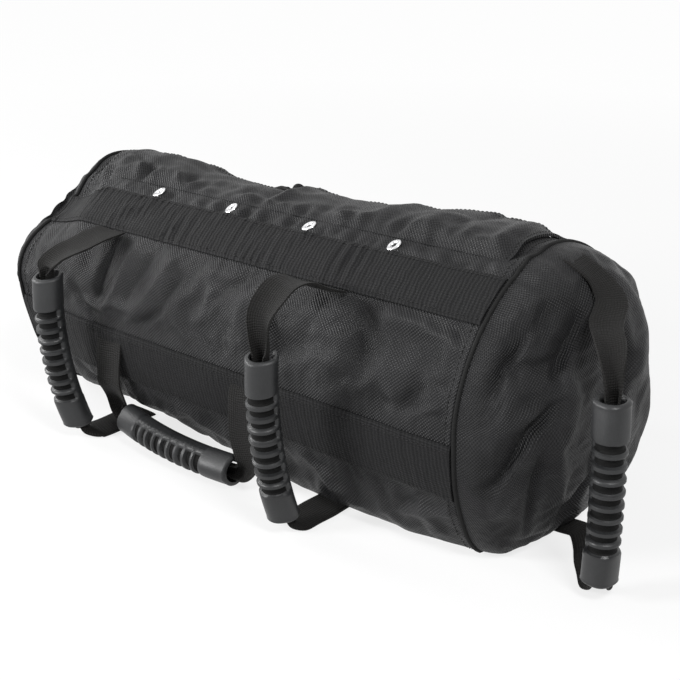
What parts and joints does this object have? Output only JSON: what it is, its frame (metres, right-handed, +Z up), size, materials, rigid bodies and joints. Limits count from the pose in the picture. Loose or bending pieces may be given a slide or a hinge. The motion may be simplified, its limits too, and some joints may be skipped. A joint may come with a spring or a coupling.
{
  "type": "sandbag trainer",
  "caption": "Filled round duffel for strength training, with sewn webbing strips, a covered zip, moulded grips on loop handles round its sides and a handle at each end.",
  "frame": {"origin": "the middle of the bag's flat underside, on the floor", "axes": "+X runs along the bag to its right end, +Y to the back, +Z up; the front with its eyelets faces -Y"},
  "size_m": [0.6944, 0.3701, 0.2391],
  "materials": {
    "shell_fabric": "matte black woven bag fabric with a light ribbed weave",
    "webbing": "matte black ribbed webbing",
    "piping": "matte black seam binding",
    "grip_rubber": "satin charcoal moulded rubber",
    "eyelet_metal": "bright nickel plate",
    "zip_metal": "dark nickel plate",
    "zip_teeth": "black moulded plastic",
    "hook_and_loop": "black hook and loop tape",
    "filler_cloth": "plain woven liner, sand filled"
  },
  "bodies": {
    "bag": {"shell": "shell_fabric", "left_end_panel": "shell_fabric", "right_end_panel": "shell_fabric", "left_piping": "piping", "right_piping": "piping", "front_upper_strip": "webbing", "front_lower_strip": "webbing", "back_upper_strip": "webbing", "back_lower_strip": "webbing", "loop_tape": "hook_and_loop", "eyelet_1": "eyelet_metal", "eyelet_2": "eyelet_metal", "eyelet_3": "eyelet_metal", "eyelet_4": "eyelet_metal", "zip_tape_front": "webbing", "zip_tape_back": "webbing", "zip_teeth_front": "zip_teeth", "zip_teeth_back": "zip_teeth", "zip_end_stop": "zip_metal", "zip_top_stop": "zip_metal", "filler_bag_left": "filler_cloth", "filler_bag_middle": "filler_cloth", "filler_bag_right": "filler_cloth", "front_left_upper_root": "webbing", "front_left_lower_root": "webbing", "front_right_upper_root": "webbing", "front_right_lower_root": "webbing", "back_left_upper_root": "webbing", "back_left_lower_root": "webbing", "back_right_upper_root": "webbing", "back_right_lower_root": "webbing", "left_end_upper_root": "webbing", "left_end_lower_root": "webbing", "right_end_upper_root": "webbing", "right_end_lower_root": "webbing", "front_long_left_root": "webbing", "front_long_right_root": "webbing", "back_long_left_root": "webbing", "back_long_right_root": "webbing"},
    "flap": {"cover_flap": "shell_fabric", "hook_tape": "hook_and_loop"},
    "slider": {"zip_slider": "zip_metal"},
    "pull_tab": {"zip_pull": "zip_metal"},
    "front_left_handle": {"front_left_strap": "webbing", "front_left_grip": "grip_rubber"},
    "front_right_handle": {"front_right_strap": "webbing", "front_right_grip": "grip_rubber"},
    "back_left_handle": {"back_left_strap": "webbing", "back_left_grip": "grip_rubber"},
    "back_right_handle": {"back_right_strap": "webbing", "back_right_grip": "grip_rubber"},
    "left_end_handle": {"left_end_strap": "webbing", "left_end_grip": "grip_rubber"},
    "right_end_handle": {"right_end_strap": "webbing", "right_end_grip": "grip_rubber"},
    "front_long_handle": {"front_long_strap": "webbing", "front_long_grip": "grip_rubber"},
    "back_long_handle": {"back_long_strap": "webbing", "back_long_grip": "grip_rubber"}
  },
  "joints": [
    {"name": "front_left_swing", "type": "hinge", "parent": "bag", "child": "front_left_handle", "pos_m": [-0.144, -0.11049, 0], "axis": [0, 0, 1], "range_deg": [-40, 30]},
    {"name": "front_right_swing", "type": "hinge", "parent": "bag", "child": "front_right_handle", "pos_m": [0.108, -0.11049, 0], "axis": [0, 0, 1], "range_deg": [-30, 55]},
    {"name": "back_left_swing", "type": "hinge", "parent": "bag", "child": "back_left_handle", "pos_m": [-0.144, 0.11049, 0], "axis": [0, 0, 1], "range_deg": [-35, 40]},
    {"name": "back_right_swing", "type": "hinge", "parent": "bag", "child": "back_right_handle", "pos_m": [0.108, 0.11049, 0], "axis": [0, 0, 1], "range_deg": [-50, 35]},
    {"name": "left_end_swing", "type": "hinge", "parent": "bag", "child": "left_end_handle", "pos_m": [-0.28492, 0, 0], "axis": [0, 0, 1], "range_deg": [-5, 145]},
    {"name": "right_end_swing", "type": "hinge", "parent": "bag", "child": "right_end_handle", "pos_m": [0.29291, 0, 0], "axis": [0, 0, 1], "range_deg": [-30, 130]},
    {"name": "front_long_swing", "type": "hinge", "parent": "bag", "child": "front_long_handle", "pos_m": [0, -0.12331, 0.07829], "axis": [1, 0, 0], "range_deg": [-140, 0]},
    {"name": "back_long_swing", "type": "hinge", "parent": "bag", "child": "back_long_handle", "pos_m": [0, 0.12331, 0.07829], "axis": [1, 0, 0], "range_deg": [0, 140]},
    {"name": "flap_fold", "type": "hinge", "parent": "bag", "child": "flap", "pos_m": [0, -0.03757, 0.21905], "axis": [0.9996, -0.0001, 0.028], "range_deg": [0, 150]},
    {"name": "zip_slide", "type": "slide", "parent": "bag", "child": "slider", "axis": [0.9996, 0, 0.03], "range_m": [-0.344, 0]},
    {"name": "pull_swivel", "type": "hinge", "parent": "slider", "child": "pull_tab", "pos_m": [0.17581, 0, 0.23018], "axis": [-0.03, 0, 0.9996], "range_deg": [-35, 35]}
  ]
}
